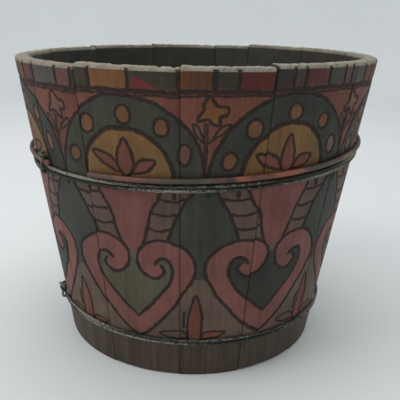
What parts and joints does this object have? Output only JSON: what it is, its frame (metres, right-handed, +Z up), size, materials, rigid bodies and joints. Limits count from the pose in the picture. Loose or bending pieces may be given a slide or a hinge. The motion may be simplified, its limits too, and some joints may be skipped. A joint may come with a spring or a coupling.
{
  "type": "wooden bucket",
  "caption": "Coopered wooden bucket of tapered staves with a croze-jointed board bottom, an open painted rod hoop and twisted wire bindings.",
  "frame": {"origin": "centre of the foot, on the surface the bucket stands on", "axes": "+Z up along the bucket's axis, -Y to the front of the picture, +X to its right"},
  "size_m": [0.3037, 0.3038, 0.2508],
  "materials": {
    "painted_stave": "worn folk paint over burnt outlines, bare worn rim and foot",
    "bottom_wood": "dull dark olive paint",
    "dowel_wood": "plain",
    "painted_iron": "worn paint over rust",
    "bare_wire": "corroded grey-green"
  },
  "bodies": {
    "root": {"stave_1": "painted_stave", "stave_2": "painted_stave", "stave_3": "painted_stave", "stave_4": "painted_stave", "stave_5": "painted_stave", "stave_6": "painted_stave", "stave_7": "painted_stave", "stave_8": "painted_stave", "stave_9": "painted_stave", "stave_10": "painted_stave", "stave_11": "painted_stave", "stave_12": "painted_stave", "stave_13": "painted_stave", "stave_14": "painted_stave", "bottom_front": "bottom_wood", "bottom_middle": "bottom_wood", "bottom_back": "bottom_wood", "bottom_dowels": "dowel_wood", "rod_hoop": "painted_iron", "upper_binding": "bare_wire", "lower_binding": "bare_wire"}
  },
  "joints": []
}
